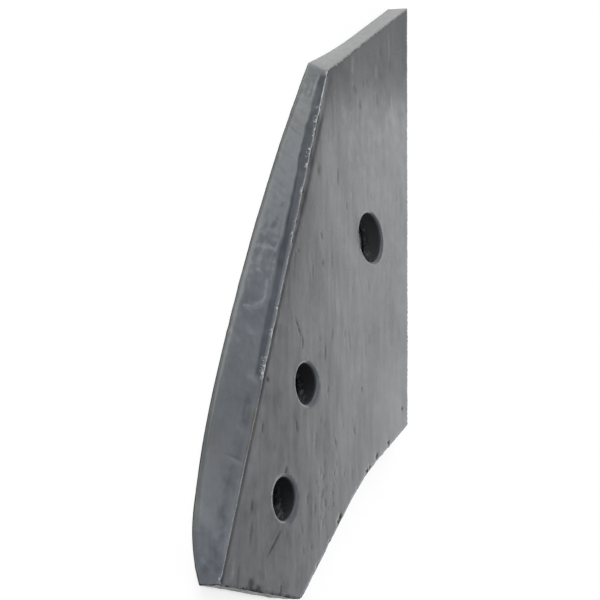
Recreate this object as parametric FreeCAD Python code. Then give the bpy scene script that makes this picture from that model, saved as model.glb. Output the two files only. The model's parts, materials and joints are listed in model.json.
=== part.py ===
import FreeCAD, Part
import math
import os

from FreeCAD import Vector

# A forged plough share: one flat steel plate with a pressed cutting bevel and three bolt holes.
# Lengths are in millimetres and angles in degrees.
# The origin is the axis of the nose bolt hole on the lower face. X runs along the ridge of the
# bevel from the nose end to the wing end, Y points to the cutting edge and Z is up.

# Plate and ridge. The ridge is the straight line where the upper face meets the bevel.
plate_thickness = 8.0
ridge_length = 170.0
hole_line_to_ridge = 23.6

# Cutting edge. On the lower face it bows out from the ridge in three arcs that run smoothly
# into each other: a long one from the wing, a fuller one in the belly and a tight one at the nose.
edge_reach = 10.7
fullest_point = 55.0
belly_radius = 204.0
nose_arc_radius = 33.0
nose_tuck = 2.6
edge_land = 1.2

# Press marks along the ridge: a lip raised on the face, and a hollow at the top of the bevel.
lip_width = 3.0
lip_height = 0.4
hollow_radius = 2.0
hollow_depth = 0.3
hollow_width = 2.2
hollow_below_ridge = 0.5
hollow_from_wing = 4.0
hollow_middle = 105.0
hollow_run_out = 45.0

# Nose end, sheared nearly square to the ridge, with a rounded back corner.
nose_end_lean = 11.4
nose_end_length = 43.0
nose_corner_radius = 4.0

# Back edge behind the nose: straight, then hollowed by an arc, then straight again.
back_first_angle = 27.3
back_first_length = 37.5
back_arc_radius = 117.0
back_last_angle = 40.7
back_last_length = 25.2

# Wing end, cut across the plate at an angle to the ridge and sloped a little through the thickness.
# Its foot flares out towards the bevel, where the press spread the steel.
wing_end_angle = 34.0
wing_end_length = 76.6
wing_end_slope = 8.0
wing_flare_length = 40.0
wing_flare_radius = 315.0

# Bolt holes, punched from the upper face, so their upper rims are rolled in.
nose_hole_from_nose = 32.7
small_hole_spacing = 36.3
small_hole_diameter = 13.0
wing_hole_from_nose = 133.8
wing_hole_from_ridge = 45.5
wing_hole_diameter = 17.0
rim_roll = 0.8

# How far cutting shapes stand past what they cut.
clear_of_plate = 12.0


def place(along, inward, height):
    """Point from distances along the ridge from the nose, in from the ridge and above the lower face."""
    return Vector(along - nose_hole_from_nose, hole_line_to_ridge - inward, height)


def direction(angle):
    """Plan direction at an angle to the ridge, turning from the wing towards the back of the plate."""
    turn = math.radians(angle)
    return Vector(math.cos(turn), -math.sin(turn), 0)


def line(start, end):
    return Part.LineSegment(start, end).toShape()


def arc(start, middle, end):
    return Part.Arc(start, middle, end).toShape()


def arc_about(centre, start, end):
    """Short circular arc about a centre, from start to end."""
    radius = (start - centre).Length
    chord_side = (start + end) * 0.5 - centre
    return arc(start, centre + chord_side.normalize() * radius, end)


def circles_meet(first, first_radius, second, second_radius):
    """The meeting point, nearer the cutting edge, of two circles in one level plane."""
    across = second - first
    span = across.Length
    along = (span ** 2 + first_radius ** 2 - second_radius ** 2) / (2 * span)
    aside = math.sqrt(first_radius ** 2 - along ** 2)
    across.normalize()
    return first + across * along + Vector(-across.y, across.x, 0) * aside


def flare_meets_ridge():
    """How far past the ridge's end its line meets the arc of the wing end's foot."""
    turn = math.radians(wing_end_angle)
    centre_out = wing_run + wing_flare_radius
    half = wing_flare_length * math.cos(turn) + centre_out * math.sin(turn)
    rest = wing_flare_length ** 2 + centre_out ** 2 - wing_flare_radius ** 2
    return half - math.sqrt(half ** 2 - rest)


# How far the wing end's foot stands out from its upper edge, and where it meets the ridge's line.
wing_run = plate_thickness * math.tan(math.radians(wing_end_slope))
lower_wing_corner = ridge_length + flare_meets_ridge()
wing_arc_radius = ((lower_wing_corner - fullest_point) ** 2 + edge_reach ** 2) / (2 * edge_reach)

nose_end_direction = direction(90 - nose_end_lean)
wing_end_direction = direction(wing_end_angle)
wing_end_outward = Vector(math.sin(math.radians(wing_end_angle)), math.cos(math.radians(wing_end_angle)), 0)


def edge_offset(along):
    """How far the long arc of the cutting edge stands out from the ridge, at a distance from the nose."""
    drop = wing_arc_radius - math.sqrt(wing_arc_radius ** 2 - (along - fullest_point) ** 2)
    return edge_reach - drop


def cutting_edge(height):
    """The three arcs of the cutting edge at a height, from the nose to past the wing end."""
    up = Vector(0, 0, height)
    belly_centre = place(fullest_point, belly_radius - edge_reach, 0)
    nose_corner = place(0, 0, 0) + nose_end_direction * nose_tuck
    nose_centre = circles_meet(nose_corner, nose_arc_radius, belly_centre, belly_radius - nose_arc_radius)
    outward = (nose_centre - belly_centre).normalize()
    nose_joint = belly_centre + outward * belly_radius
    fullest = place(fullest_point, -edge_reach, 0)
    wing_past = lower_wing_corner + clear_of_plate
    wing_middle = (fullest_point + wing_past) / 2
    edges = [
        arc_about(nose_centre + up, nose_corner + up, nose_joint + up),
        arc_about(belly_centre + up, nose_joint + up, fullest + up),
        arc(
            fullest + up,
            place(wing_middle, -edge_offset(wing_middle), height),
            place(wing_past, -edge_offset(wing_past), height),
        ),
    ]
    return edges


def ridge(height, stations):
    """The straight ridge, in lengths that match the arcs of the cutting edge below it."""
    points = [Vector(station, hole_line_to_ridge, height) for station in stations]
    return [line(start, end) for start, end in zip(points, points[1:])]


def rest_of_outline(height, front_start, front_end):
    """The outline from the wing round the back to the nose, closing the two ends of the front."""
    wing_corner = place(ridge_length, 0, height) + wing_end_direction * wing_end_length
    corner = place(0, 0, height) + nose_end_direction * nose_end_length
    nose_face = -nose_end_direction
    first = direction(back_first_angle)
    last = direction(back_last_angle)

    # The rounded corner starts and ends at one distance from the sharp corner.
    corner_angle = nose_face.getAngle(first)
    setback = nose_corner_radius / math.tan(corner_angle / 2)
    corner_on_nose = corner + nose_face * setback
    corner_on_back = corner + first * setback
    inward = (nose_face + first).normalize()
    corner_centre = corner + inward * (nose_corner_radius / math.sin(corner_angle / 2))

    # The hollow arc is tangent to both straight lengths of the back edge.
    arc_start = corner_on_back + first * back_first_length
    arc_centre = arc_start + Vector(first.y, -first.x, 0) * back_arc_radius
    arc_end = arc_centre - Vector(last.y, -last.x, 0) * back_arc_radius
    back_corner = arc_end + last * back_last_length
    outer_edge = (wing_corner - back_corner).normalize()
    past_wing = wing_corner + outer_edge * clear_of_plate
    return [
        line(front_end, past_wing),
        line(past_wing, back_corner),
        line(back_corner, arc_end),
        arc_about(arc_centre, arc_end, arc_start),
        line(arc_start, corner_on_back),
        arc_about(corner_centre, corner_on_back, corner_on_nose),
        line(corner_on_nose, front_start),
    ]


def closed_outline(front, height):
    ends = rest_of_outline(height, front[0].firstVertex(True).Point, front[-1].lastVertex(True).Point)
    return Part.Wire(front + ends)


def bevelled_blank():
    """The plate with its blunt cutting edge below and the bevel ruled from there up to the ridge."""
    edge_bottom = cutting_edge(0)
    edge_top = cutting_edge(edge_land)
    stations = [edge.firstVertex(True).Point.x for edge in edge_top]
    stations.append(edge_top[-1].lastVertex(True).Point.x)
    stations[0] = place(0, 0, 0).x
    land_outline = closed_outline(edge_top, edge_land)
    face_outline = closed_outline(ridge(plate_thickness, stations), plate_thickness)
    land = Part.Face(closed_outline(edge_bottom, 0)).extrude(Vector(0, 0, edge_land))
    bevel = Part.makeLoft([land_outline, face_outline], True, True)
    return land.fuse(bevel).removeSplitter()


def lip():
    """Low ramp that rises to the ridge along the whole face."""
    section = Part.makePolygon([
        place(0, 0, plate_thickness),
        place(0, 0, plate_thickness + lip_height),
        place(0, lip_width, plate_thickness),
        place(0, 0, plate_thickness),
    ])
    run = Part.Face(section).extrude(Vector(ridge_length + clear_of_plate, 0, 0))
    return run.cut(nose_end_cutter())


def nose_end_cutter():
    """Everything past the nose end's upright face."""
    start = place(0, 0, plate_thickness / 2) - nose_end_direction * clear_of_plate
    end = place(0, 0, plate_thickness / 2) + nose_end_direction * clear_of_plate
    away = Vector(-clear_of_plate, 0, 0)
    base = Part.Face(Part.makePolygon([start, end, end + away, start + away, start]))
    return base.extrude(Vector(0, 0, plate_thickness))


def beside_wing_end(along, out, height):
    """Point from distances along the wing end's upper edge from the ridge and out from that edge."""
    return place(ridge_length, 0, height) + wing_end_direction * along + wing_end_outward * out


def flare_out(along):
    """How far the wing end's foot stands out from the upper edge, along the arc of its flare."""
    back = wing_flare_length - along
    return wing_run + wing_flare_radius - math.sqrt(wing_flare_radius ** 2 - back ** 2)


def past_wing_end(height, flared):
    """Outline of everything past the wing end: at its foot with the flare, at its upper edge straight."""
    start = -clear_of_plate
    middle = (start + wing_flare_length) / 2
    end = wing_end_length + 2 * clear_of_plate
    far = flare_out(start) + 2 * clear_of_plate
    if flared:
        first = beside_wing_end(start, flare_out(start), height)
        joint = beside_wing_end(wing_flare_length, wing_run, height)
        last = beside_wing_end(end, wing_run, height)
        front = arc(first, beside_wing_end(middle, flare_out(middle), height), joint)
    else:
        first = beside_wing_end(start, 0, height)
        joint = beside_wing_end(wing_flare_length, 0, height)
        last = beside_wing_end(end, 0, height)
        front = line(first, joint)
    far_end = beside_wing_end(end, far, height)
    far_start = beside_wing_end(start, far, height)
    return Part.Wire([
        front,
        line(joint, last),
        line(last, far_end),
        line(far_end, far_start),
        line(far_start, first),
    ])


def wing_end_cutter():
    """Everything past the wing end's face, which is ruled between its flared foot and its upper edge."""
    foot = past_wing_end(0, True)
    top = past_wing_end(plate_thickness, False)
    below = Part.Face(foot).extrude(Vector(0, 0, -clear_of_plate))
    above = Part.Face(top).extrude(Vector(0, 0, clear_of_plate))
    return Part.makeLoft([foot, top], True, True).fuse([below, above])


def hollow_axis_point(along, depth):
    """Centre of the press tool's round nose, sunk by a depth into the bevel beside the ridge."""
    top = place(along, 0, plate_thickness)
    foot = place(along, -edge_offset(along), edge_land)
    down_bevel = (foot - top).normalize()
    outward = Vector(0, -down_bevel.z, down_bevel.y)
    down = hollow_below_ridge + hollow_width / 2
    return top + down_bevel * down + outward * (hollow_radius - depth)


def hollow():
    """Round-nosed groove under the ridge: full depth by the wing, running out towards the nose."""
    start = hollow_axis_point(ridge_length - hollow_from_wing, hollow_depth)
    middle = hollow_axis_point(hollow_middle, hollow_depth)
    end = hollow_axis_point(hollow_run_out, 0)
    path = arc(start, middle, end)
    tangent = path.tangentAt(path.FirstParameter)
    section = Part.Wire(Part.makeCircle(hollow_radius, start, tangent))
    groove = Part.Wire(path).makePipeShell([section], True, False)
    return groove.fuse(Part.makeSphere(hollow_radius, start))


def punched_hole(along, inward, diameter):
    """Cutter for a straight hole whose upper rim flares outwards in a quarter round."""
    radius = diameter / 2
    roll_start = plate_thickness - rim_roll
    bend = rim_roll * math.sqrt(0.5)
    low = -clear_of_plate
    high = plate_thickness + clear_of_plate
    rim = arc(
        Vector(radius, 0, roll_start),
        Vector(radius + rim_roll - bend, 0, roll_start + bend),
        Vector(radius + rim_roll, 0, plate_thickness),
    )
    profile = Part.Wire([
        line(Vector(0, 0, low), Vector(radius, 0, low)),
        line(Vector(radius, 0, low), Vector(radius, 0, roll_start)),
        rim,
        line(Vector(radius + rim_roll, 0, plate_thickness), Vector(radius + rim_roll, 0, high)),
        line(Vector(radius + rim_roll, 0, high), Vector(0, 0, high)),
        line(Vector(0, 0, high), Vector(0, 0, low)),
    ])
    cutter = Part.Face(profile).revolve(Vector(0, 0, 0), Vector(0, 0, 1), 360)
    cutter.translate(place(along, inward, 0))
    return cutter


def plough_share():
    share = bevelled_blank().fuse(lip())
    share = share.cut(wing_end_cutter())
    share = share.cut(hollow())
    holes = [
        (nose_hole_from_nose, hole_line_to_ridge, small_hole_diameter),
        (nose_hole_from_nose + small_hole_spacing, hole_line_to_ridge, small_hole_diameter),
        (wing_hole_from_nose, wing_hole_from_ridge, wing_hole_diameter),
    ]
    for along, inward, diameter in holes:
        share = share.cut(punched_hole(along, inward, diameter))
    return share.removeSplitter()


os.makedirs("parts", exist_ok=True)
share = plough_share()
print("share: solids", len(share.Solids), "valid", share.isValid(), "volume", round(share.Volume, 1))
print("box", share.BoundBox)
share.exportStep("parts/share.step")
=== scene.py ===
import json
import math
from collections import namedtuple

import bmesh
import bpy
import numpy as np
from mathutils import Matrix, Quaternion, Vector, geometry, kdtree, noise

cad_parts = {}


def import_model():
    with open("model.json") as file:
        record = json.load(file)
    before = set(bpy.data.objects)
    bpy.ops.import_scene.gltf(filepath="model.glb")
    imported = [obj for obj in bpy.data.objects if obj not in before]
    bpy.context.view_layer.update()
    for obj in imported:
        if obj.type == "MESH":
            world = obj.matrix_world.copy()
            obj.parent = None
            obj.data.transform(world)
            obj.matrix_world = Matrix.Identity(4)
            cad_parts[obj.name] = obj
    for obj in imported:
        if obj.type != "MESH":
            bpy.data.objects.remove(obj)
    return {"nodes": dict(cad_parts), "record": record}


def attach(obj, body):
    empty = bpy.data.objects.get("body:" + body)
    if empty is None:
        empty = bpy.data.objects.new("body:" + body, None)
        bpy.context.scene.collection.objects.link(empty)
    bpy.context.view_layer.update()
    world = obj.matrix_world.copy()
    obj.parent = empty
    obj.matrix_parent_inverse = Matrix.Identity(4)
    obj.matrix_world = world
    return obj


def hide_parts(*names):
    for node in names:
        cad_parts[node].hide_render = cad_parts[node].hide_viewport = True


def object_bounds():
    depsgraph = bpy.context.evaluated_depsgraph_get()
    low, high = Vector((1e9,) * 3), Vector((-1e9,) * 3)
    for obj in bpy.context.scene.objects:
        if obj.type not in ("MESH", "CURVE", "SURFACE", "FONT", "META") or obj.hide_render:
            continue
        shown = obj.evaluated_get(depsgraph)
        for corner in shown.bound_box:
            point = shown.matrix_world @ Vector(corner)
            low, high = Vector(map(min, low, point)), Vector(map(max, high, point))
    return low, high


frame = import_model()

MM = 0.001
CAD_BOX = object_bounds()

# Camera, as the photograph's hole ellipses and outline place it.
CAMERA_PLACE = Vector((-0.1050, 0.2796, 0.1898))
CAMERA_TARGET = Vector((0.05846, 0.01242, 0.00779))
CAMERA_ROLL = math.radians(84.29)
CAMERA_LENS = 72.0
SENSOR_WIDTH = 36.0

# Mesh spacings in millimetres.
FACE_STEP = 0.62
UNDER_STEP = 2.2
OUTLINE_STEP = 0.50
STATION_STEP = 0.45
RIM_STEP = 0.45

# Numbers of rows: on the land, the bevel's coarse and fine parts, the lip, and a hole's roll and wall.
LAND_ROWS = 4
COARSE_ROWS, FINE_ROWS = 14, 15
FINE_FROM = 0.42
LIP_ROWS = 8
ROLL_ROWS, BORE_ROWS = 8, 15

# How many steps settle where a row meets the leaning ends.
END_TRIES = 12

# Points closer than this are joined: in the solid's mesh in millimetres, in the fine mesh in metres.
CAD_JOIN = 1e-3
FINE_JOIN = 2e-6

# Points that fill a level face: their random shake and least distance from its border, in steps, and seeds.
FILL_SHAKE = 0.18
FILL_CLEARANCE = 0.6
FACE_SEED, UNDER_SEED = 11, 12

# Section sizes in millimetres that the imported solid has.
LAND_HEIGHT = 1.2
LIP_WIDTH = 3.0
LIP_HEIGHT = 0.4
RIM_ROLL = 0.8

# The points of the flat lower face and its rim lie below this height.
FOOT_TOP = 0.01

# Edge rounding: how far round the bevel's wing end it is worn, which edges count as sharp, how strongly their
# points are smoothed, what share of that the foot's points get, and how many times it is done.
WORN_END_RADIUS = 1.5
SHARP_EDGE = math.radians(35)
EDGE_SOFTNESS = 0.5
FOOT_SHARE = 0.1
SMOOTHING_PASSES = 10

# Parts of the surface, which decide what relief and colour a point gets.
BEVEL, FACE, WALL, BORE, UNDER = range(5)

# Rolling and brush streaks run this way in plan.
STREAK_TURN = 20.0

# The paint's tone, below zero where it is darker: on the face, on the nose end, where it is painted shade, on
# the blunt land and on the edge above the land, where it is painted light, and on the bevel at places along the
# ridge.
FACE_TONE = -0.60
NOSE_END_PAINTED_SHADE = -0.60
LAND_PAINTED_LIGHT = 0.40
LAND_EDGE_PAINTED_LIGHT = 0.14
BEVEL_TONES = [(-33, 0.5), (-25, 0.35), (-12, -0.05), (2, -0.38), (28, -0.15), (45, 0.04), (62, 0.0),
               (80, -0.12), (100, -0.13), (122, 0.04), (132, 0.34)]

# The nose end's points have the smallest X plus this share of Y.
NOSE_END_LEAN = 0.2

# The punch drew the plate into the top of each hole, most on the sides at these headings in degrees. Each hole,
# from the nose on, narrows there by as many millimetres.
DRAWN_HEADINGS = (-125, 31)
DRAWN_IN = [(0.50, 0.45), (0.60, 0.25), (0.50, 0.0)]
DRAWN_DEPTH = 3.7

# The broken wall low in a hole reaches highest at this heading, and the painted shade in the hole is lightest
# there, where the light reaches.
TORN_AND_LIT_HEADING = -140

# Hole rims: the heading that faces the light, how far past the rolled edge the rim's look reaches, and how dull
# the paint is all round it and on the side away from the light.
RIM_LIT_HEADING = 121.5
RIM_REACH = 0.9
RIM_DULL = 0.35
RIM_SHADED_DULL = 0.5

# A mark is an oval in plan: its middle, half length and half width in millimetres, its direction in degrees,
# how deep it goes, below zero where it stands up, and its tone, below zero where it is darker.
Mark = namedtuple("Mark", "x y length width turn depth tone")

FACE_MARKS = [
    # The first five are raised streaks, painted lighter as a painted highlight.
    Mark(151, 10.2, 3.0, 0.8, STREAK_TURN, -0.05, 0.5),
    Mark(174, -11.3, 3.4, 0.9, STREAK_TURN, -0.05, 0.4),
    Mark(178, -9.5, 2.4, 0.6, STREAK_TURN, -0.04, 0.3),
    Mark(160, -5.4, 2.2, 1.0, STREAK_TURN, -0.04, 0.35),
    Mark(157, -18.7, 3.0, 1.0, STREAK_TURN, -0.04, 0.25),
    Mark(144, 6, 1.5, 0.8, 60, 0.04, -0.18),
    Mark(151, -9, 2.0, 0.8, 35, 0.04, -0.12),
    Mark(141, 1, 1.6, 0.9, 35, 0.04, -0.18),
    Mark(103, 17, 2.0, 0.9, 10, 0.02, -0.4),
    Mark(115, -17, 1.4, 0.5, 12, 0.02, -0.3),
    Mark(102, -3, 1.2, 0.4, STREAK_TURN, 0.02, -0.3),
    Mark(125, -34, 1.2, 0.5, 10, 0.02, -0.3),
    Mark(84, 8, 1.2, 0.7, 30, 0.02, -0.4),
    Mark(72, 19, 0.5, 0.5, 0, 0.04, -0.5),
    Mark(76, 4.5, 1.0, 0.8, 0, 0.02, -0.4),
    Mark(50, 11, 2.6, 0.4, 52, 0.03, -0.5),
    Mark(47, 7, 2.0, 0.4, 25, 0.03, -0.5),
    Mark(50, -6.5, 2.4, 0.4, 15, 0.02, -0.4),
    Mark(61.5, -16, 1.2, 0.5, 10, 0.02, -0.3),
    Mark(28, 21, 0.7, 0.6, 0, 0.06, -0.7),
    Mark(40, -12, 1.2, 0.4, STREAK_TURN, 0.02, -0.4),
    Mark(49.5, -32.5, 1.0, 0.5, 10, 0.03, -0.5),
    Mark(22, 1.5, 1.6, 0.4, 35, 0.03, -0.6),
    Mark(14, 18.5, 1.4, 0.4, 5, 0.02, -0.5),
    Mark(35, -32, 1.5, 0.4, 40, 0.03, -0.5),
    Mark(56, -62, 0.7, 0.5, 0, 0.08, -0.8),
    Mark(7.5, 2.5, 1.3, 0.7, 0, 0.02, -0.6),
    Mark(-8, 16, 1.6, 0.5, 10, 0.02, -0.4),
    Mark(-13.6, 1.2, 5.0, 0.35, -26.0, 0.02, -0.60),
    Mark(-28, 9, 1.6, 1.5, 0, 0.03, -0.5),
    Mark(-28.5, 5, 1.6, 1.4, 0, 0.03, -0.6),
    Mark(-25, -6.5, 1.6, 0.5, 10, 0.02, -0.5),
    Mark(-27, 19, 2.6, 0.6, 10, -0.03, 0.3),
    # A pale line along the back edge near the nose corner, a painted highlight.
    Mark(-17.0, -21.6, 6.0, 0.6, -27, 0, 0.7),
]
# Broad places where the face is darker.
FACE_ZONES = [
    Mark(22, 0, 10, 7, STREAK_TURN, 0, -0.13),
    Mark(141, 11, 8, 5, STREAK_TURN, 0, -0.17),
    Mark(79, 8, 16, 5, STREAK_TURN, 0, -0.11),
]
BACK_EDGE_CHIPS = [
    Mark(40.6, -55.8, 0.7, 0.5, -38, 0.30, -0.6),
    Mark(38.8, -56.6, 0.5, 0.5, -38, 0.30, -0.6),
    Mark(33.0, -49.2, 1.0, 0.4, -10, 0.25, -0.5),
    Mark(31.4, -50.6, 0.7, 0.4, -38, 0.30, -0.5),
    Mark(25.8, -44.6, 0.8, 0.6, -35, 0.35, -0.7),
    Mark(23.6, -45.0, 0.6, 0.5, -35, 0.35, -0.7),
    Mark(27.6, -46.0, 0.6, 0.4, 10, 0.25, -0.6),
    Mark(18.2, -40.2, 0.5, 0.5, -30, 0.25, -0.5),
    Mark(6.1, -32.4, 0.9, 0.5, -10, 0.30, -0.7),
    Mark(4.3, -31.8, 0.8, 0.5, -27, 0.30, -0.7),
    Mark(-3.4, -28.8, 0.8, 0.4, -27, 0.25, -0.5),
    Mark(-12.2, -24.0, 0.8, 0.4, -27, 0.25, -0.5),
]
BEVEL_MARKS = [
    Mark(59, 29.8, 0.9, 0.45, 75, -0.16, 0.3),
    Mark(40.3, 29.7, 1.6, 0.5, 60, -0.12, 0.2),
    Mark(36.5, 33, 2.4, 0.7, 55, -0.14, 0.25),
    Mark(27, 26, 1.6, 1.2, 80, -0.12, 0.3),
    Mark(1.5, 26.4, 0.5, 2.0, -10, -0.10, 0.2),
    Mark(-27.8, 24.8, 2.4, 0.3, 23, -0.04, 0.6),
    Mark(96, 29, 2.6, 0.5, 40, 0.08, -0.05),
    Mark(91, 29.2, 2.2, 0.5, 40, 0.07, -0.05),
    Mark(113, 26.2, 2.0, 0.5, 45, 0.08, -0.05),
    Mark(69, 31.4, 1.8, 0.5, 45, 0.06, -0.05),
    Mark(64.5, 31.6, 1.6, 0.5, 45, 0.06, -0.05),
    Mark(46, 30, 1.6, 0.45, 70, -0.10, 0.15),
    Mark(44.8, 27, 1.8, 0.45, 30, -0.10, 0.15),
]
# Folds and drips on the bevel that stand up as thin lines, each a chain of points in plan.
BEVEL_FOLDS = [
    [(57, 27.2), (52, 26.9), (49.5, 27.4), (47, 29.5), (46.3, 32.0)],
    [(85, 26.0), (78, 26.0), (70, 25.6)],
    [(-24.5, 26.0), (-28.0, 24.6), (-30.3, 23.8)],
]
FOLD_WIDTH = 0.40
FOLD_HEIGHT = 0.16

# The strip under the ridge, painted dark blue as a painted reflection, as distances below it and places along
# it, and the patches that follow it.
STRIP_FROM, STRIP_TO = 27.0, 135.6
STRIP_TOP, STRIP_BOTTOM = 0.25, 2.75
STRIP_DEPTH = 0.34
DARK_REFLECTION_PATCHES = [
    Mark(17, 25.8, 6.0, 1.1, 4, 0.08, -0.02),
    Mark(6, 26.2, 4.0, 1.3, 4, 0.08, -0.02),
    Mark(-3.5, 26.6, 5.0, 2.0, 4, 0.08, -0.02),
    Mark(-16, 25.6, 6.5, 1.3, 8, 0.08, -0.02),
    Mark(-26, 24.7, 3.8, 1.1, 12, 0.08, -0.02),
]

# The burr along the ridge: places where it is torn and bright, worn to steel and with a painted highlight, as
# place, half length and width down the bevel.
BURR_SPOTS = [
    (136.3, 0.8, 0.7), (122.8, 0.5, 1.6), (118.3, 2.2, 1.3), (113.0, 2.6, 0.8), (105.6, 2.4, 1.3),
    (100.4, 1.0, 1.0), (90.8, 1.2, 0.7), (80.0, 0.8, 0.6), (75.6, 0.7, 0.7), (73.2, 0.8, 0.7),
    (50.2, 0.9, 0.9), (41.5, 1.6, 0.7), (31.5, 2.4, 1.3), (28.0, 1.2, 1.0), (-31.2, 1.0, 1.2),
]
# Places where the ridge is rusty, as place and half length.
RUST_STRETCHES = [(14.2, 3.6), (7.0, 1.6)]


def camera():
    data = bpy.data.cameras.new("camera")
    data.lens = CAMERA_LENS
    data.sensor_width = SENSOR_WIDTH
    data.clip_start = 0.01
    data.clip_end = 50.0
    view = bpy.data.objects.new("camera", data)
    bpy.context.scene.collection.objects.link(view)
    level = (CAMERA_TARGET - CAMERA_PLACE).to_track_quat("-Z", "Y")
    view.rotation_mode = "QUATERNION"
    view.rotation_quaternion = level @ Quaternion((0, 0, 1), CAMERA_ROLL)
    view.location = CAMERA_PLACE
    bpy.context.scene.camera = view


# The solid's outline

def cad_mesh():
    """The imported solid's mesh with its split corners joined, in millimetres."""
    mesh = bmesh.new()
    mesh.from_mesh(frame["nodes"]["share"].data)
    bmesh.ops.scale(mesh, verts=mesh.verts, vec=(1 / MM, 1 / MM, 1 / MM))
    bmesh.ops.remove_doubles(mesh, verts=mesh.verts, dist=CAD_JOIN)
    return mesh


def level_outline(mesh, up):
    """The outer loop of the solid's level faces that look up (1) or down (-1), as an array of points."""
    level = {face for face in mesh.faces if face.normal.z * up > 0.9999}
    rim = [edge for edge in mesh.edges if len([face for face in edge.link_faces if face in level]) == 1]
    beside = {}
    for edge in rim:
        for vert in edge.verts:
            beside.setdefault(vert, []).append(edge.other_vert(vert))
    loops = []
    left = set(beside)
    while left:
        loop = []
        step = [next(iter(left))]
        while step:
            loop.append(step[0])
            left.discard(step[0])
            step = [vert for vert in beside[step[0]] if vert in left]
        loops.append(np.array([vert.co[:] for vert in loop]))
    outer = max(loops, key=lambda loop: np.ptp(loop[:, 0]))
    turn = np.roll(outer, -1, axis=0)
    area = np.sum(outer[:, 0] * turn[:, 1] - turn[:, 0] * outer[:, 1])
    return outer if area > 0 else outer[::-1]


def corner(loop, toward_x, toward_y):
    """Index of the outline's corner that stands out furthest in a direction."""
    return int(np.argmax(loop[:, 0] * toward_x + loop[:, 1] * toward_y))


def stretch(loop, start, end):
    """The points of a closed loop from one index to another, going round anticlockwise."""
    count = (end - start) % len(loop)
    return loop[[(start + i) % len(loop) for i in range(count + 1)]]


def lengths_along(points):
    """Length along a line of points up to each of them."""
    return np.concatenate([[0], np.cumsum(np.linalg.norm(np.diff(points, axis=0), axis=1))])


def evenly(points, count):
    """A number of evenly spaced points along an open line."""
    lengths = lengths_along(points)
    places = np.linspace(0, lengths[-1], count)
    return np.column_stack([np.interp(places, lengths, points[:, axis]) for axis in range(3)])


def resample(points, step, smoothing=0):
    """Evenly spaced points along an open line, with its small facets smoothed away."""
    line = evenly(points, max(int(round(lengths_along(points)[-1] / step)), 1) + 1)
    for _ in range(smoothing):
        line[1:-1] = 0.25 * line[:-2] + 0.5 * line[1:-1] + 0.25 * line[2:]
    return line


class Outline:
    """The corners and edges of the solid that the fine mesh is built between, in millimetres."""

    def __init__(self):
        mesh = cad_mesh()
        upper = level_outline(mesh, 1)
        lower = level_outline(mesh, -1)
        points = np.array([vert.co[:] for vert in mesh.verts])
        mesh.free()
        crest = points[points[:, 2] > points[:, 2].max() - 0.01]
        self.crest_nose = crest[np.argmin(crest[:, 0])]
        self.crest_wing = crest[np.argmax(crest[:, 0])]
        self.face_z = float(upper[:, 2].mean())
        self.ridge_y = float(crest[:, 1].max())

        nose_low = corner(lower, -0.9, 0.4)
        wing_low = corner(lower, 0.4, 0.9)
        far_low = corner(lower, 1, 0)
        self.nose_low = lower[nose_low]
        self.wing_low = lower[wing_low]
        self.far_low = lower[far_low]
        self.edge_line = resample(stretch(lower, wing_low, nose_low)[::-1], OUTLINE_STEP, smoothing=12)
        self.wing_foot = stretch(lower, far_low, wing_low)[::-1]

        nose_in = corner(upper, -0.6, 0.8)
        wing_in = corner(upper, 0.3, 0.95)
        far = corner(upper, 1, 0)
        back = corner(upper, -0.2, -1)
        self.face_wing = upper[wing_in]
        self.back = upper[back]
        # Anticlockwise from the nose: back edge, plain edge, wing end.
        self.nose_to_back = resample(stretch(upper, nose_in, back), OUTLINE_STEP, smoothing=6)
        self.back_to_far = resample(stretch(upper, back, far), OUTLINE_STEP)
        self.far_to_wing = resample(stretch(upper, far, wing_in), OUTLINE_STEP)

    def reach(self, x):
        """How far the cutting edge stands out from the ridge at a place along it."""
        return np.interp(x, self.edge_line[:, 0], self.edge_line[:, 1]) - self.ridge_y


# The fine mesh

def section_rows(outline):
    """The section from the lower edge over the ridge to the face, as (share of reach, inward, height)."""
    rows = [(1.0, 0.0, LAND_HEIGHT * i / LAND_ROWS) for i in range(LAND_ROWS)]
    coarse = np.linspace(1.0, FINE_FROM, COARSE_ROWS)[:-1]
    for share in [*coarse, *np.linspace(FINE_FROM, 0.0, FINE_ROWS)]:
        rows.append((float(share), 0.0, outline.face_z + (LAND_HEIGHT - outline.face_z) * float(share)))
    crest_z = float(outline.crest_nose[2])
    rows.append((0.0, 0.0, (outline.face_z + crest_z) / 2))
    crest_row = len(rows)
    for part in np.linspace(0, 1, LIP_ROWS + 1):
        rows.append((0.0, LIP_WIDTH * part, crest_z + (outline.face_z - crest_z) * part))
    return rows, crest_row


def front_grid(outline):
    """Stations along the ridge by rows across the section, trimmed to the nose and wing end planes."""
    rows, crest_row = section_rows(outline)
    crest_z = outline.crest_nose[2]
    nose_line = outline.nose_low - outline.crest_nose
    nose_lean = nose_line[0] / nose_line[1]
    wing_slope = (outline.wing_low[0] - outline.crest_wing[0]) / crest_z
    lip_run = outline.face_wing[0] - outline.crest_wing[0] - (crest_z - outline.face_z) * wing_slope
    wing_lean = lip_run / (outline.face_wing[1] - outline.crest_wing[1])
    count = int(round((outline.crest_wing[0] - outline.crest_nose[0]) / STATION_STEP))
    share_along = np.linspace(0, 1, count + 1)
    grid = np.zeros((count + 1, len(rows), 3))
    for j, (share, inward, height) in enumerate(rows):
        x_nose = outline.crest_nose[0]
        x_wing = outline.crest_wing[0]
        # The edge curves and the ends lean, so where each row ends is found step by step.
        for _ in range(END_TRIES):
            out_nose = share * outline.reach(x_nose) - inward
            out_wing = share * outline.reach(x_wing) - inward
            x_nose = outline.crest_nose[0] + out_nose * nose_lean
            x_wing = outline.crest_wing[0] + out_wing * wing_lean + (crest_z - height) * wing_slope
        x = x_nose + (x_wing - x_nose) * share_along
        grid[:, j, 0] = x
        grid[:, j, 1] = outline.ridge_y + share * outline.reach(x) - inward
        grid[:, j, 2] = height
    return grid, crest_row


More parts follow.
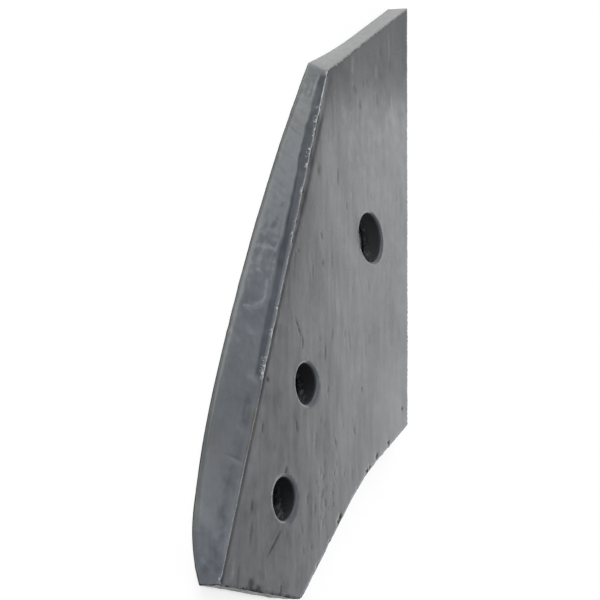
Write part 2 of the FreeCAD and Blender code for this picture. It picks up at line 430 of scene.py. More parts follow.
class Builder:
    """Collects grids and level fillings that share their border points, then joins them into one mesh."""

    def __init__(self):
        self.points = []
        self.faces = []
        self.parts = []

    def add(self, points, faces, part):
        base = len(self.points)
        self.points.extend(map(tuple, points))
        self.parts.extend([part] * len(points))
        self.faces.extend([tuple(base + int(i) for i in face) for face in faces])

    def add_grid(self, grid, part, closed=False):
        across, down = grid.shape[:2]
        faces = []
        for i in range(across if closed else across - 1):
            after = (i + 1) % across
            for j in range(down - 1):
                faces.append((i * down + j, after * down + j, after * down + j + 1, i * down + j + 1))
        self.add(grid.reshape(-1, 3), faces, part)

    def mesh(self, name):
        data = bpy.data.meshes.new(name)
        data.from_pydata([tuple(c * MM for c in point) for point in self.points], [], self.faces)
        part = data.attributes.new("part", "INT", "POINT")
        part.data.foreach_set("value", self.parts)
        work = bmesh.new()
        work.from_mesh(data)
        bmesh.ops.remove_doubles(work, verts=work.verts, dist=FINE_JOIN)
        bmesh.ops.recalc_face_normals(work, faces=work.faces)
        work.to_mesh(data)
        work.free()
        return data


def inside(points, loop):
    """Which points lie inside a closed outline, by counting crossings."""
    within = np.zeros(len(points), dtype=bool)
    x, y = points[:, 0], points[:, 1]
    for (ax, ay), (bx, by) in zip(loop, np.roll(loop, -1, axis=0)):
        spans = (ay > y) != (by > y)
        if ay != by:
            within ^= spans & (x < (bx - ax) * (y - ay) / (by - ay) + ax)
    return within


def fill_points(outer, holes, step, seed):
    """Slightly uneven points in a triangle pattern, clear of the outline and the holes."""
    border = np.concatenate([outer] + holes)
    tree = kdtree.KDTree(len(border))
    for i, point in enumerate(border):
        tree.insert((point[0], point[1], 0), i)
    tree.balance()
    low = outer.min(axis=0)
    high = outer.max(axis=0)
    row_step = step * math.sqrt(3) / 2
    rows = int((high[1] - low[1]) / row_step) + 1
    columns = int((high[0] - low[0]) / step) + 2
    x, y = np.meshgrid(np.arange(columns) * step, np.arange(rows) * row_step)
    x[1::2] += step / 2
    points = np.column_stack([x.ravel() + low[0], y.ravel() + low[1]])
    shake = np.random.default_rng(seed)
    points += shake.uniform(-FILL_SHAKE, FILL_SHAKE, points.shape) * step
    points = points[inside(points, outer)]
    for hole in holes:
        centre = hole.mean(axis=0)
        radius = np.linalg.norm(hole[0] - centre)
        points = points[np.linalg.norm(points - centre, axis=1) > radius]
    clearance = FILL_CLEARANCE * min(step, 2 * FACE_STEP)
    clear = [tree.find((x, y, 0))[2] > clearance for x, y in points]
    return points[np.array(clear)]


def fill_level(builder, height, outer, holes, step, part, seed):
    """Fills a level face between its outline and its round holes with even triangles."""
    loops = [outer[:, :2]] + [hole[:, :2] for hole in holes]
    border = np.concatenate(loops)
    edges = []
    base = 0
    for loop in loops:
        edges += [(base + i, base + (i + 1) % len(loop)) for i in range(len(loop))]
        base += len(loop)
    flat = np.concatenate([border, fill_points(loops[0], loops[1:], step, seed)])
    inside_border = 1
    result = geometry.delaunay_2d_cdt([Vector(point) for point in flat], edges, [], inside_border, 1e-7)
    points = np.array([(point[0], point[1], height) for point in result[0]])
    origin = np.array([origins[0] if origins else len(flat) for origins in result[3]])
    known = origin < len(flat)
    points[known, :2] = flat[origin[known]]
    faces = np.array([face[:] for face in result[2]])
    # A triangle with all its corners on the holes' rims spans a hole.
    on_hole = (origin >= len(loops[0])) & (origin < len(border))
    faces = faces[~on_hole[faces].all(axis=1)]
    builder.add(points, faces, part)


def bolt_holes():
    """Centre and radius in millimetres of each stated bore."""
    bores = [mount for mount in frame["record"]["mounts"] if mount["kind"] == "bore"]
    return [(mount["pos_m"][0] / MM, mount["pos_m"][1] / MM, mount["dims"]["r_mm"]) for mount in bores]


def hole_grid(centre_x, centre_y, radius, drawn_in, face_z):
    """The rolled rim and the wall of a punched hole, from the face down."""
    count = int(round(2 * math.pi * radius / RIM_STEP))
    turn = np.linspace(0, 2 * math.pi, count, endpoint=False)
    inward = np.zeros(count)
    for heading, amount in zip(DRAWN_HEADINGS, drawn_in):
        inward += amount * np.clip(np.cos(turn - math.radians(heading)), 0, 1) ** 2
    profile = []
    for angle in np.linspace(0, math.pi / 2, ROLL_ROWS):
        side, level = math.sin(angle), math.cos(angle)
        profile.append((RIM_ROLL * (1 - side), side, face_z - RIM_ROLL * (1 - level)))
    for below in np.linspace(0, face_z - RIM_ROLL, BORE_ROWS)[1:]:
        profile.append((0.0, max(1 - below / DRAWN_DEPTH, 0), face_z - RIM_ROLL - below))
    grid = np.zeros((count, len(profile), 3))
    for j, (out, share, height) in enumerate(profile):
        reach = radius + out - inward * share
        grid[:, j, 0] = centre_x + reach * np.cos(turn)
        grid[:, j, 1] = centre_y + reach * np.sin(turn)
        grid[:, j, 2] = height
    return grid


def beside_holes(points):
    """Each point's distance from the nearest hole's wall, below zero inside it, and its heading from it."""
    nearest = np.full(len(points), 1e3)
    heading = np.zeros(len(points))
    for centre_x, centre_y, radius in bolt_holes():
        gap = np.hypot(points[:, 0] - centre_x, points[:, 1] - centre_y) - radius
        closer = gap < nearest
        nearest[closer] = gap[closer]
        heading[closer] = np.arctan2(points[closer, 1] - centre_y, points[closer, 0] - centre_x)
    return nearest, heading


def spread(start, end, count):
    """Evenly spaced points from after the start to the end."""
    shares = np.arange(1, count + 1) / count
    return start + (end - start) * shares[:, None]


def wall_grid(outline, grid, crest_row):
    """The sheared ends and the back and plain edges, from the wing end round to the nose end."""
    wing_top = np.concatenate([grid[-1, crest_row:], outline.far_to_wing[::-1][1:]])
    far_top = outline.back_to_far[::-1][1:]
    nose_back = outline.nose_to_back[::-1]
    corner_start = int(np.argmin(nose_back[:, 0] + 0.15 * nose_back[:, 1]))
    back_top = nose_back[1:corner_start + 1]
    nose_top = np.concatenate([nose_back[corner_start + 1:-1], grid[0, crest_row:][::-1]])

    back_corner = outline.back * np.array([1, 1, 0])
    wing_low = evenly(outline.wing_foot, len(wing_top))
    far_low = spread(outline.far_low, back_corner, len(far_top))
    back_low = back_top * np.array([1, 1, 0])
    nose_low = spread(back_low[-1], outline.nose_low, len(nose_top))
    top = np.concatenate([wing_top, far_top, back_top, nose_top])
    low = np.concatenate([wing_low, far_low, back_low, nose_low])
    shares = grid[0, :crest_row + 1, 2] / grid[0, crest_row, 2]
    wall = low[:, None, :] + (top - low)[:, None, :] * shares[None, :, None]
    wall[0] = grid[-1, :crest_row + 1]
    wall[-1] = grid[0, :crest_row + 1]
    return wall


def share_mesh(outline):
    """The whole share as one closed mesh, with the solid's form and points close enough for its relief."""
    builder = Builder()
    grid, crest_row = front_grid(outline)
    wall = wall_grid(outline, grid, crest_row)
    holes = [hole_grid(*hole, drawn_in, outline.face_z) for hole, drawn_in in zip(bolt_holes(), DRAWN_IN)]
    lip_rows = grid.shape[1] - 1 - crest_row
    face_loop = np.concatenate([grid[:, -1], wall[lip_rows + 1:-lip_rows - 1, -1]])
    under_loop = np.concatenate([grid[:, 0], wall[1:-1, 0]])
    builder.add_grid(grid[:, :crest_row + 1], BEVEL)
    builder.add_grid(grid[:, crest_row:], FACE)
    builder.add_grid(wall, WALL)
    for hole in holes:
        builder.add_grid(hole, BORE, closed=True)
    tops = [hole[:, 0] for hole in holes]
    feet = [hole[:, -1] for hole in holes]
    fill_level(builder, outline.face_z, face_loop, tops, FACE_STEP, FACE, FACE_SEED)
    fill_level(builder, 0.0, under_loop, feet, UNDER_STEP, UNDER, UNDER_SEED)
    return builder.mesh("share_finish")


# Relief and colour marks

def rise(values, low, high):
    """0 below low, 1 above high, and a smooth rise between."""
    share = np.clip((values - low) / (high - low), 0, 1)
    return share * share * (3 - 2 * share)


def band(values, low, high, soft):
    """1 between low and high, falling to 0 outside over a soft width."""
    return rise(values, low - soft, low + soft) * (1 - rise(values, high - soft, high + soft))


def turned(x, y, degrees):
    """Places in plan as lengths along a direction and across it."""
    turn = math.radians(degrees)
    return x * math.cos(turn) + y * math.sin(turn), y * math.cos(turn) - x * math.sin(turn)


def oval(points, mark):
    """How strongly a mark acts at each point, from 1 in its middle to 0 well outside."""
    along, across = turned(points[:, 0] - mark.x, points[:, 1] - mark.y, mark.turn)
    return np.exp(-((along / mark.length) ** 4 + (across / mark.width) ** 2))


# How far apart in the noise two seeds that follow each other lie.
SEED_SHIFT = np.array((17.3, -9.1, 5.7))


def waves(points, size, seed, octaves=1, stretch_by=1.0):
    """Seeded noise of about -1 to 1 with lumps of a size in millimetres, drawn out along the streaks."""
    along, across = turned(points[:, 0], points[:, 1], STREAK_TURN)
    spots = np.column_stack([along / stretch_by, across, points[:, 2]]) / size + SEED_SHIFT * seed
    if octaves == 1:
        return np.array([noise.noise(spot) for spot in spots.tolist()])
    return np.array([noise.fractal(spot, 1.0, 2.0, octaves) for spot in spots.tolist()])


def fold_marks():
    """The bevel's folds as chains of narrow raised marks."""
    marks = []
    for line in BEVEL_FOLDS:
        for (ax, ay), (bx, by) in zip(line, line[1:]):
            length = math.hypot(bx - ax, by - ay) / 2 * 1.15
            turn = math.degrees(math.atan2(by - ay, bx - ax))
            marks.append(Mark((ax + bx) / 2, (ay + by) / 2, length, FOLD_WIDTH, turn, -FOLD_HEIGHT, 0.25))
    return marks


SCATTER_SEED = 31
FACE_STREAKS = 150
NOSE_STREAKS = 90
BEVEL_DENTS = 90


def scattered(outline, seed):
    """Small seeded marks: streaks on the face, more of them behind the nose hole, and dents on the bevel."""
    pick = np.random.default_rng(seed)
    face = []
    for _ in range(FACE_STREAKS):
        x, y = pick.uniform(-30, 200), pick.uniform(-66, 20)
        tone = pick.uniform(-0.28, 0.14)
        face.append(Mark(x, y, pick.uniform(0.8, 3.4), pick.uniform(0.35, 0.6),
                         STREAK_TURN + pick.uniform(-12, 12), -0.06 * tone, tone))
    for _ in range(NOSE_STREAKS):
        x, y = pick.normal(10, 10), pick.normal(-19, 6.5)
        tone = pick.uniform(-0.40, 0.06)
        face.append(Mark(x, y, pick.uniform(0.5, 1.6), pick.uniform(0.28, 0.42),
                         STREAK_TURN + pick.uniform(-15, 15), -0.08 * tone, tone))
    bevel = []
    for _ in range(BEVEL_DENTS):
        x = pick.uniform(28, 138)
        y = outline.ridge_y + pick.uniform(0.35, 1.0) * float(outline.reach(x))
        depth = pick.uniform(-0.03, 0.09)
        bevel.append(Mark(x, y, pick.uniform(0.9, 2.6), pick.uniform(0.35, 0.6),
                          pick.uniform(15, 60), depth, -1.2 * depth))
    return face, bevel


def rim_shade(heading):
    """How far a place on a hole's rim is turned from the light, from 0 to 1, and how dull it is."""
    shade = np.clip(0.6 - np.cos(heading - math.radians(RIM_LIT_HEADING)), 0, 1)
    return shade, np.maximum(RIM_SHADED_DULL * shade, RIM_DULL)


# The layers that the paint reads at each point: the tone, below zero where it is darker, the gap in millimetres
# from the ridge's crest, below zero on the face, and how strongly each of the other looks shows.
LAYERS = ("tone", "cold", "worn", "line", "gap", "dull", "rust", "green", "bore")
FAR_FROM_CREST = 9.0


class Surface:
    """Works out the relief and the colour marks of every point of the fine mesh."""

    def __init__(self, outline, points, parts):
        self.outline = outline
        self.points = points
        self.parts = parts
        self.relief = np.zeros(len(points))
        for name in LAYERS:
            setattr(self, name, np.zeros(len(points)))
        self.gap += FAR_FROM_CREST
        self.face_scatter, self.bevel_scatter = scattered(outline, SCATTER_SEED)
        self.bevel()
        self.face()
        self.walls()
        self.bores()

    def press(self, chosen, marks, area="tone"):
        """Presses marks into the chosen points and colours them."""
        points = self.points[chosen]
        for mark in marks:
            reach = 2.2 * max(mark.length, mark.width)
            near = (abs(points[:, 0] - mark.x) < reach) & (abs(points[:, 1] - mark.y) < reach)
            if not near.any():
                continue
            spots = np.flatnonzero(chosen)[near]
            strength = oval(points[near], mark)
            self.relief[spots] -= mark.depth * strength
            self.tone[spots] += mark.tone * strength
            if area == "dull" and mark.tone < 0:
                self.dull[spots] = np.maximum(self.dull[spots], -1.3 * mark.tone * strength)
            # These marks add the painted reflection's dark blue.
            if area == "cold":
                uneven = 0.50 + 0.45 * waves(self.points[spots], 2.2, 9, 3)
                self.cold[spots] = np.maximum(self.cold[spots], strength * uneven)

    def bevel(self):
        chosen = self.parts == BEVEL
        points = self.points[chosen]
        x = points[:, 0]
        reach = np.maximum(self.outline.reach(x), 0.05)
        share = (points[:, 1] - self.outline.ridge_y) / reach
        height = self.outline.face_z - LAND_HEIGHT
        below = np.clip(self.outline.face_z - points[:, 2], 0, height) / height * np.hypot(reach, height)
        forged = 0.22 + 0.78 * rise(x, 22, 50)
        outer = rise(below, 2.2, 4.2)
        self.relief[chosen] += 0.14 * waves(points, 13, 1) * outer
        self.relief[chosen] += 0.045 * waves(points, 4.2, 2, 2) * forged * outer
        self.relief[chosen] += 0.08 * waves(points * (1, 0.8, 1), 1.1, 3, 2, 2.5) * forged * outer
        places, tones = zip(*BEVEL_TONES)
        self.tone[chosen] += np.interp(x, places, tones) + 0.06 * waves(points, 3.0, 6, 3) * (0.4 + forged)
        # The blunt land and the edge above it are painted lighter, as painted light.
        self.tone[chosen] += LAND_EDGE_PAINTED_LIGHT * (1 - rise(points[:, 2], LAND_HEIGHT - 0.5, LAND_HEIGHT + 1.0))
        self.tone[chosen] += LAND_PAINTED_LIGHT * (1 - rise(points[:, 2], LAND_HEIGHT - 0.9, LAND_HEIGHT))

        # The strip that the press left under the ridge, with an uneven lower border, painted dark blue as a
        # painted reflection.
        wander = 0.55 * waves(points * (1, 0, 0), 7, 4, 2)
        along = band(x, STRIP_FROM, STRIP_TO, 1.0)
        strip = along * rise(below, STRIP_TOP - 0.3, STRIP_TOP + 0.3)
        strip *= 1 - rise(below, STRIP_BOTTOM - 0.5 + wander, STRIP_BOTTOM + 0.3 + wander)
        self.relief[chosen] -= STRIP_DEPTH * strip
        dark = 0.63 + 0.29 * rise(x, 55, 80) - 0.22 * rise(x, 95, 115)
        self.cold[chosen] = strip * (dark + 0.25 * waves(points, 3, 5))
        self.dull[chosen] = strip * (0.30 + 0.30 * rise(x, 85, 115))
        rim = along * band(below, STRIP_BOTTOM + 0.3 + wander, STRIP_BOTTOM + 0.7 + wander, 0.3)
        self.relief[chosen] += 0.06 * rim * (x < 90)
        self.press(chosen, DARK_REFLECTION_PATCHES, "cold")
        self.press(chosen, BEVEL_MARKS + fold_marks() + self.bevel_scatter)
        # The green tint near the wing end and along the cutting edge is painted light.
        uneven = 0.8 + 0.4 * waves(points, 6, 8, 2)
        edge_painted_light = 0.7 * rise(share, 0.84, 0.97) * (x > -20)
        self.green[chosen] = np.maximum(0.8 * rise(x, 85, 130), edge_painted_light) * uneven
        self.burr(chosen)

    def burr(self, chosen):
        """The ragged crest of the ridge, which stands up to the solid's own height."""
        points = self.points[chosen]
        x = points[:, 0]
        off_crest = np.hypot(points[:, 1] - self.outline.ridge_y, points[:, 2] - self.outline.crest_nose[2])
        on_bevel = self.parts[chosen] == BEVEL
        self.gap[chosen] = np.where(on_bevel, 1, -1) * np.maximum(off_crest - 0.1, 0)
        near = 1 - rise(off_crest, 0.15, 0.9)
        ragged = np.zeros(len(x))
        for place, half, width in BURR_SPOTS:
            spot = np.exp(-((x - place) / half) ** 4 - (off_crest / width) ** 4) * on_bevel
            self.worn[chosen] = np.maximum(self.worn[chosen], spot)
            ragged = np.maximum(ragged, np.exp(-((x - place) / half) ** 4))
        broken = 0.5 + 0.5 * waves(points, 1.6, 7, 3)
        self.relief[chosen] -= near * (0.10 + 0.24 * (1 - broken) * (0.3 + ragged))
        # The bright line along the crest is worn paint and a painted highlight.
        thin = 1.15 * rise(x, 112, 124) + 0.36 * band(x, 24, 116, 5) + 0.28 * (1 - rise(x, -2, 10))
        self.line[chosen] = np.clip(thin + 0.3 * ragged, 0, 1.2)
        for place, half in RUST_STRETCHES:
            stain = np.exp(-((x - place) / half) ** 4) * (1 - rise(off_crest, 0.3, 1.3))
            self.rust[chosen] = np.maximum(self.rust[chosen], stain * np.clip(1.6 * broken - 0.1, 0, 1))
            self.line[chosen] *= 1 - 0.6 * stain

    def face(self):
        chosen = self.parts == FACE
        points = self.points[chosen]
        x = points[:, 0]
        inward = self.outline.ridge_y - points[:, 1]
        self.relief[chosen] += 0.12 * waves(points, 26, 11, 2)
        self.relief[chosen] += 0.015 * waves(points, 3.4, 12, 2, 5.0)
        self.tone[chosen] += FACE_TONE + 0.05 * waves(points, 2.6, 13, 3, 7.0) + 0.08 * waves(points, 14, 14, 3)
        self.tone[chosen] -= 0.06 * rise(x + 1.2 * points[:, 1], 145, 165)

        # The lip narrows to a burr, with a shallow ditch behind it that is wider in the wing half.
        self.relief[chosen] += LIP_HEIGHT * (np.exp(-inward / 0.35) - np.clip(1 - inward / LIP_WIDTH, 0, 1))
        width = 1.5 + 1.5 * rise(x, 60, 95)
        ditch = rise(inward, 0.1, 0.5) * (1 - rise(inward, width - 0.5, width + 0.5))
        ditch *= 0.85 + 0.2 * waves(points * (1, 0, 0), 6, 15, 2)
        ditch *= 1 - 0.8 * rise(x, 118, 126)
        self.relief[chosen] -= 0.08 * ditch
        self.tone[chosen] -= (0.12 + 0.13 * rise(x, 60, 90)) * ditch
        # The face is duller towards its back edge, in the ditch and a little way behind it.
        back = 0.43 * rise(-points[:, 1], -8, 38) * (0.72 + 0.28 * rise(x, 50, 85))
        beside = 0.50 * np.exp(-(inward / 8.0) ** 2) * rise(x, 45, 65)
        self.dull[chosen] = np.maximum(np.maximum(back, beside), 0.90 * ditch)
        # Beside it in the nose half the face is a little lighter.
        self.tone[chosen] += 0.10 * band(inward, width + 0.8, width + 3.4, 0.8) * (1 - rise(x, 25, 45))
        brown_end = band(x, -31, -19, 2.5) * band(inward, 0.3, 3.6, 0.8)
        self.rust[chosen] = 0.12 * brown_end + 0.16 * band(x, 40, 57, 3) * ditch
        off_wall, heading = beside_holes(points)
        rim = 1 - rise(off_wall, RIM_ROLL, RIM_ROLL + RIM_REACH)
        shade, dull = rim_shade(heading)
        self.dull[chosen] = np.maximum(self.dull[chosen], dull * rim)
        self.tone[chosen] += 0.15 * shade * rim
        self.press(chosen, FACE_ZONES + FACE_MARKS + self.face_scatter + BACK_EDGE_CHIPS, "dull")
        self.burr(chosen)

    def walls(self):
        chosen = self.parts == WALL
        points = self.points[chosen]
        x = points[:, 0]
        wing_end = (points[:, 1] > -22) & (x > 120)
        torn = np.where(wing_end, 0.25, 1.0)
        self.relief[chosen] += torn * (0.16 * waves(points, 3.0, 21, 3) - 0.10)
        self.relief[chosen] += 0.06 * torn * waves(points * (1, 1, 0.2), 0.9, 22)
        # The wing end is painted paler and green, as painted light.
        end_painted_light = 0.50 - 0.30 * rise(x, 145, 185)
        self.tone[chosen] += np.where(wing_end, end_painted_light, -0.05) + 0.12 * waves(points, 2.0, 23, 3)
        # The camera looks almost along the nose end, so it is painted dark as painted shade and takes no shine.
        nose_end = 1 - rise(x + NOSE_END_LEAN * points[:, 1], -27, -25)
        self.tone[chosen] += NOSE_END_PAINTED_SHADE * nose_end
        self.dull[chosen] = nose_end
        self.green[chosen] = 1.0 * wing_end
        self.press(chosen, BACK_EDGE_CHIPS)

    def bores(self):
        chosen = self.parts == BORE
        points = self.points[chosen]
        heading = beside_holes(points)[1]
        torn = np.clip(np.cos(heading - math.radians(TORN_AND_LIT_HEADING)), 0, 1) ** 2
        deep = 1 - rise(points[:, 2], 1.6 + 3.4 * torn, 3.0 + 3.4 * torn)
        self.relief[chosen] -= deep * (0.12 + 0.30 * abs(waves(points, 1.3, 25, 3)))
        rim = self.outline.face_z - RIM_ROLL
        scaly = np.clip((1.2 + 1.6 * torn) * waves(points, 0.9, 26, 3), 0, 1) * deep
        wall = 1 - rise(points[:, 2], rim - 0.5, rim + 0.05)
        # The hole's wall is painted near black as painted shade, less where the light reaches it.
        self.bore[chosen] = wall * (1 - scaly) * (1 - 0.45 * torn)
        shade, dull = rim_shade(heading)
        self.dull[chosen] = dull * (1 - wall)
        self.tone[chosen] += (FACE_TONE + 0.35 * shade) * (1 - wall) + (0.6 * scaly - 0.1) * wall

    def write(self, data):
        """Keeps the layers on the mesh, where the paint reads them."""
        for name in LAYERS:
            values = getattr(self, name).astype(np.float32)
            layer = data.attributes.new(name, "FLOAT", "POINT")
            layer.data.foreach_set("value", values)


def read_vectors(data, name):
    """The places ("co") or the directions ("normal") of a mesh's points."""
    values = np.zeros(len(data.vertices) * 3)
    data.vertices.foreach_get(name, values)
    return values.reshape(-1, 3)


def read_edges(data):
    edges = np.zeros(len(data.edges) * 2, dtype=np.int32)
    data.edges.foreach_get("vertices", edges)
    return edges.reshape(-1, 2)


def sharp_edges(data):
    """Which edges of a mesh are sharp."""
    work = bmesh.new()
    work.from_mesh(data)
    sharp = np.array([edge.calc_face_angle(0) > SHARP_EDGE for edge in work.edges])
    work.free()
    return sharp


def edge_softness(data, outline):
    """How strongly each point is smoothed: the points of sharp edges, and all near the bevel's wing end."""
    soft = np.zeros(len(data.vertices))
    soft[read_edges(data)[sharp_edges(data)]] = EDGE_SOFTNESS
    points = read_vectors(data, "co") / MM
    start = outline.crest_wing
    line = outline.wing_low - start
    share = np.clip((points - start) @ line / (line @ line), 0, 1)
    gap = np.linalg.norm(points - start - share[:, None] * line, axis=1)
    soft[gap < WORN_END_RADIUS] = EDGE_SOFTNESS
    soft[points[:, 2] < FOOT_TOP] *= FOOT_SHARE
    return soft


def sharpen_foot(data):
    """Keeps the edges round the flat lower face sharp in the shading, so that no dark line shows along them."""
    low = read_vectors(data, "co")[:, 2] / MM < 2 * FOOT_TOP
    sharp = sharp_edges(data) & low[read_edges(data)].all(axis=1)
    layer = data.attributes.new("sharp_edge", "BOOLEAN", "EDGE")
    layer.data.foreach_set("value", sharp)


def soften(points, edges, softness):
    """Moves points towards the middle of their neighbours, as far as their softness says."""
    count = len(points)
    degree = np.bincount(edges.ravel(), minlength=count)[:, None]
    for _ in range(SMOOTHING_PASSES):
        total = np.zeros_like(points)
        for axis in range(3):
            total[:, axis] += np.bincount(edges[:, 0], points[edges[:, 1], axis], count)
            total[:, axis] += np.bincount(edges[:, 1], points[edges[:, 0], axis], count)
        points = points + softness[:, None] * (total / degree - points)
    return points


def finish_surface(data, outline):
    """Rounds the edges, adds the relief and keeps every point inside the solid's own box."""
    parts = np.zeros(len(data.vertices), dtype=np.int32)
    data.attributes["part"].data.foreach_get("value", parts)
    data.attributes.remove(data.attributes["part"])
    points = soften(read_vectors(data, "co") / MM, read_edges(data), edge_softness(data, outline))
    data.vertices.foreach_set("co", (points * MM).ravel())
    data.update()
    normals = read_vectors(data, "normal")
    # The rim of the flat lower face moves level, as far as the walls above it.
    foot = points[:, 2] < FOOT_TOP
    aside = np.linalg.norm(normals[:, :2], axis=1)
    rim = foot & (aside > 0.3)
    normals[rim] = normals[rim] * (1, 1, 0) / aside[rim, None]

    surface = Surface(outline, points, parts)
    low, high = np.array(CAD_BOX) / MM
    moved = np.clip(points + normals * surface.relief[:, None], low, high)
    # The flat lower face and its rim stay level on the floor.
    level = (parts == UNDER) | foot
    moved[level, 2] = points[level, 2]
    data.vertices.foreach_set("co", (moved * MM).ravel())
    surface.write(data)
    data.shade_smooth()
    sharpen_foot(data)
    data.update()


# Materials

class Shader:
    """Short calls for the nodes of one material or world."""

    def __init__(self, owner, output="OutputMaterial"):
        owner.use_nodes = True
        self.owner = owner
        self.tree = owner.node_tree
        self.tree.nodes.clear()
        self.surface = self.tree.nodes.new("ShaderNode" + output).inputs["Surface"]

    def set(self, socket, value):
        if isinstance(value, bpy.types.NodeSocket):
            self.tree.links.new(value, socket)
        else:
            socket.default_value = value

    def node(self, kind, output, values, **settings):
        """An output of a new node that has these settings and these input values or links."""
        node = self.tree.nodes.new("ShaderNode" + kind)
        for name, value in settings.items():
            setattr(node, name, value)
        for name, value in values.items():
            self.set(node.inputs[name], value)
        return node.outputs[output]

    def mark(self, name):
        return self.node("Attribute", "Fac", {}, attribute_name=name)

    def noise(self, vector, scale, detail=3.0, roughness=0.55):
        values = {"Vector": vector, "Scale": scale, "Detail": detail, "Roughness": roughness}
        return self.node("TexNoise", "Fac", values)

    def stretched(self, vector, turn, along):
        """The coordinates turned in plan and drawn out along the new X."""
        values = {"Vector": vector, "Rotation": (0, 0, math.radians(turn)), "Scale": (along, 1, 1)}
        return self.node("Mapping", "Vector", values, vector_type="TEXTURE")

    def range(self, value, low, high, new_low, new_high):
        values = {"Value": value, "From Min": low, "From Max": high, "To Min": new_low, "To Max": new_high}
        return self.node("MapRange", "Result", values)

    def math(self, operation, first, second):
        return self.node("Math", 0, {0: first, 1: second}, operation=operation)

    def mix(self, factor, first, second, blend="MIX"):
        values = {"Factor": factor, "A": first, "B": second}
        return self.node("Mix", "Result", values, data_type="RGBA", blend_type=blend)


def colour(*levels):
    """A colour written as display values from 0 to 255."""
    shares = [level / 255 for level in levels]
    return (*[share / 12.92 if share <= 0.04045 else ((share + 0.055) / 1.055) ** 2.4 for share in shares], 1.0)


PAINT_DARK = colour(83, 88, 96)
PAINT_LIGHT = colour(102, 107, 113)
PAINTED_LIGHT_GREEN = colour(105, 109, 107)
STRIP_PAINTED_REFLECTION = colour(45, 53, 63)
WORN_STEEL_AND_GLINT = colour(205, 208, 210)
RUST_BROWN = colour(80, 69, 58)
BORE_PAINTED_SHADE = colour(24, 26, 28)
CREST_HALF_WIDTH = 0.34
CREST_WANDER = 0.15
# Roughness at the smoothest and roughest places, gloss of plain and of fully dull paint, and the grain.
ROUGHNESS = (0.15, 0.25)
GLOSS = (0.5, 0.02)
GRAIN_STRENGTH = 0.18
GRAIN_DEPTH = 0.00006


def crest_line(shader, place):
    """Bright where the crest's paint is gone, and as a painted highlight: a thin line that wanders and breaks,
    and specks beside it.
    """
    strength = shader.mark("line")
    wander = shader.range(shader.noise(place, 300, 3.0), 0.3, 0.7, -CREST_WANDER, CREST_WANDER)
    off_line = shader.math("ABSOLUTE", shader.math("ADD", shader.mark("gap"), wander), 0.0)
    off_line = shader.math("SUBTRACT", off_line, shader.math("MULTIPLY", strength, 0.6 * CREST_HALF_WIDTH))
    line = shader.range(off_line, 0, 0.4 * CREST_HALF_WIDTH, 1, 0)
    breaks = shader.range(shader.noise(place, 700, 3.0, 0.65), 0.40, 0.53, 0.3, 1)
    line = shader.math("MULTIPLY", shader.math("MULTIPLY", line, breaks), strength)
    specks = shader.range(shader.noise(place, 1200, 3.0, 0.7), 0.50, 0.60, 0, 0.9)
    return shader.math("MAXIMUM", line, shader.math("MULTIPLY", specks, shader.mark("worn")))


def paint():
    """Thin semi-gloss paint on forged steel: streaked, mottled, worn and with a painted highlight along the
    ridge, and dark in the holes with painted shade.
    """
    shader = Shader(bpy.data.materials.new("share_paint"))
    place = shader.node("TexCoord", "Object", {})
    streaks = shader.stretched(place, STREAK_TURN, 9.0)

    mottle = shader.noise(place, 60, 4.0)
    base = shader.mix(shader.range(mottle, 0.35, 0.68, 0, 1), PAINT_DARK, PAINT_LIGHT)
    # The green tint is painted light.
    base = shader.mix(shader.mark("green"), base, PAINTED_LIGHT_GREEN)
    # The strip under the ridge is painted dark blue as a painted reflection.
    base = shader.mix(shader.mark("cold"), base, STRIP_PAINTED_REFLECTION)
    # Painted shade makes the holes near black.
    base = shader.mix(shader.mark("bore"), base, BORE_PAINTED_SHADE)
    lines = shader.noise(streaks, 800, 4.0, 0.6)
    blots = shader.noise(place, 420, 3.0, 0.6)
    shade = shader.math("MAXIMUM", shader.math("ADD", shader.mark("tone"), 1.0), 0.05)
    shade = shader.math("MULTIPLY", shade, shader.range(lines, 0.25, 0.75, 0.90, 1.10))
    shade = shader.math("MULTIPLY", shade, shader.range(blots, 0.3, 0.7, 0.94, 1.06))
    base = shader.mix(1.0, base, shade, "MULTIPLY")
    base = shader.mix(shader.mark("rust"), base, RUST_BROWN)
    wear_and_glint = crest_line(shader, place)
    base = shader.mix(wear_and_glint, base, WORN_STEEL_AND_GLINT)

    grain = shader.noise(place, 1500, 2.0)
    roughness = shader.range(shader.noise(place, 240, 3.0), 0.3, 0.7, *ROUGHNESS)
    roughness = shader.math("SUBTRACT", roughness, shader.math("MULTIPLY", wear_and_glint, 0.08))
    roughness = shader.math("ADD", roughness, shader.math("MULTIPLY", shader.mark("bore"), 0.35))

    bump_height = shader.math("ADD", grain, shader.math("MULTIPLY", lines, 0.6))
    bump_height = shader.math("ADD", bump_height, wear_and_glint)
    bump = {"Strength": GRAIN_STRENGTH, "Distance": GRAIN_DEPTH, "Height": bump_height}

    looks = {
        "Base Color": base,
        "Roughness": roughness,
        "Specular IOR Level": shader.range(shader.mark("dull"), 0, 1, *GLOSS),
        "Normal": shader.node("Bump", "Normal", bump),
    }
    shader.set(shader.surface, shader.node("BsdfPrincipled", "BSDF", looks))
    return shader.owner


# Stage and light

# The floor lies a hair under the share. Its colour in the light and its glow, which only the background's rays
# see, show white together.
FLOOR_SIZE = 8.0
FLOOR_DROP = 0.00003
FLOOR_COLOUR = (0.32, 0.32, 0.32, 1.0)
FLOOR_GLOW = 0.74
# It is painted darker, as painted contact shadow, where something covers it this closely, from clear to dark
# between these openings.
CONTACT_REACH = 0.03
CONTACT_CLEAR = 0.49
CONTACT_DARK = 0.38
CONTACT_SHADOW_COLOUR = (0.03, 0.03, 0.03, 1.0)
AIR_LIGHT = 0.42
SEEING_RAYS = ("Camera", "Glossy", "Transmission")

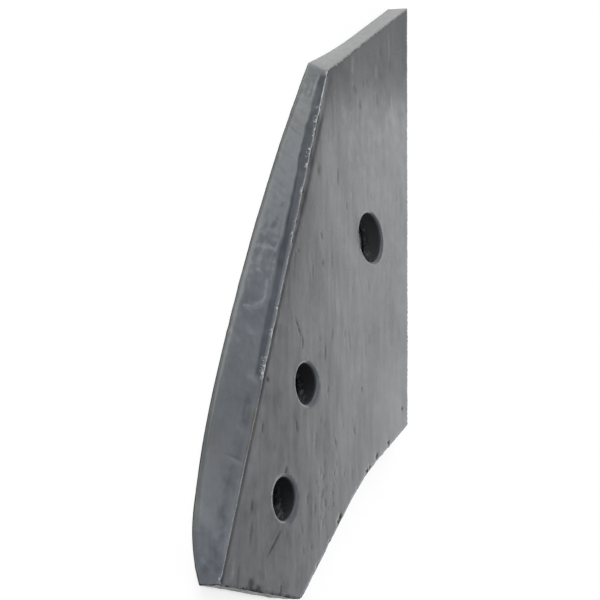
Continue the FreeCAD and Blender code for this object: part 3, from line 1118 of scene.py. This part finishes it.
# Soft boxes: heading and height from the share's middle and own turn in degrees, then distance, width, depth
# and power.
MIDDLE = Vector((0.07, 0.0, 0.0))
Lamp = namedtuple("Lamp", "name heading height turn distance width depth power")
LAMPS = [
    Lamp("light_beyond", -66, 20.3, -2, 1.1, 0.74, 0.368, 1.70),
    Lamp("light_end", 42, 24, 0, 1.4, 1.5, 1.5, 12.5),
    Lamp("light_top", 120, 72, 0, 1.2, 1.0, 1.0, 4.0),
]


def background_rays(shader):
    """1 for the rays that see the background, straight or mirrored, and 0 for those that only light."""
    seen, *others = [shader.node("LightPath", f"Is {kind} Ray", {}) for kind in SEEING_RAYS]
    for other in others:
        seen = shader.math("MAXIMUM", seen, other)
    return seen


def floor():
    """A pale matt floor that shows white in the light and keeps the share's shadow, with painted contact shadow
    where the share covers it.
    """
    side = FLOOR_SIZE / 2
    corners = [(-side, -side, 0), (side, -side, 0), (side, side, 0), (-side, side, 0)]
    data = bpy.data.meshes.new("floor")
    data.from_pydata(corners, [], [(0, 1, 2, 3)])
    plane = bpy.data.objects.new("floor", data)
    plane.location = (0, 0, -FLOOR_DROP)
    bpy.context.scene.collection.objects.link(plane)
    shader = Shader(bpy.data.materials.new("floor_white"))
    uncovered = shader.node("AmbientOcclusion", "AO", {"Distance": CONTACT_REACH})
    openness = shader.range(uncovered, CONTACT_DARK, CONTACT_CLEAR, 0, 1)
    matt = shader.node("BsdfDiffuse", "BSDF", {"Color": shader.mix(openness, CONTACT_SHADOW_COLOUR, FLOOR_COLOUR)})
    strength = shader.math("MULTIPLY", openness, FLOOR_GLOW)
    strength = shader.math("MULTIPLY", background_rays(shader), strength)
    glow = shader.node("Emission", "Emission", {"Strength": strength})
    shader.set(shader.surface, shader.node("AddShader", "Shader", {0: matt, 1: glow}))
    data.materials.append(shader.owner)


def world():
    """Plain pale light all round, which shows white behind the share."""
    air = bpy.data.worlds.new("air")
    shader = Shader(air, "OutputWorld")
    strength = shader.range(background_rays(shader), 0, 1, AIR_LIGHT, 1)
    back = {"Color": (1, 1, 1, 1), "Strength": strength}
    shader.set(shader.surface, shader.node("Background", "Background", back))
    bpy.context.scene.world = air


def lamps():
    for lamp in LAMPS:
        heading = math.radians(lamp.heading)
        height = math.radians(lamp.height)
        flat = math.cos(height)
        toward = Vector((math.cos(heading) * flat, math.sin(heading) * flat, math.sin(height)))
        data = bpy.data.lights.new(lamp.name, "AREA")
        data.shape = "RECTANGLE"
        data.size = lamp.width
        data.size_y = lamp.depth
        data.energy = lamp.power
        light = bpy.data.objects.new(lamp.name, data)
        light.location = MIDDLE + toward * lamp.distance
        level = (-toward).to_track_quat("-Z", "Y")
        light.rotation_euler = (level @ Quaternion((0, 0, 1), math.radians(lamp.turn))).to_euler()
        bpy.context.scene.collection.objects.link(light)


def share():
    outline = Outline()
    data = share_mesh(outline)
    finish_surface(data, outline)
    data.materials.append(paint())
    piece = bpy.data.objects.new("share_finish", data)
    bpy.context.scene.collection.objects.link(piece)
    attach(piece, "root")
    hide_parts("share")


bpy.context.scene.view_settings.view_transform = "Standard"
camera()
share()
floor()
world()
lamps()
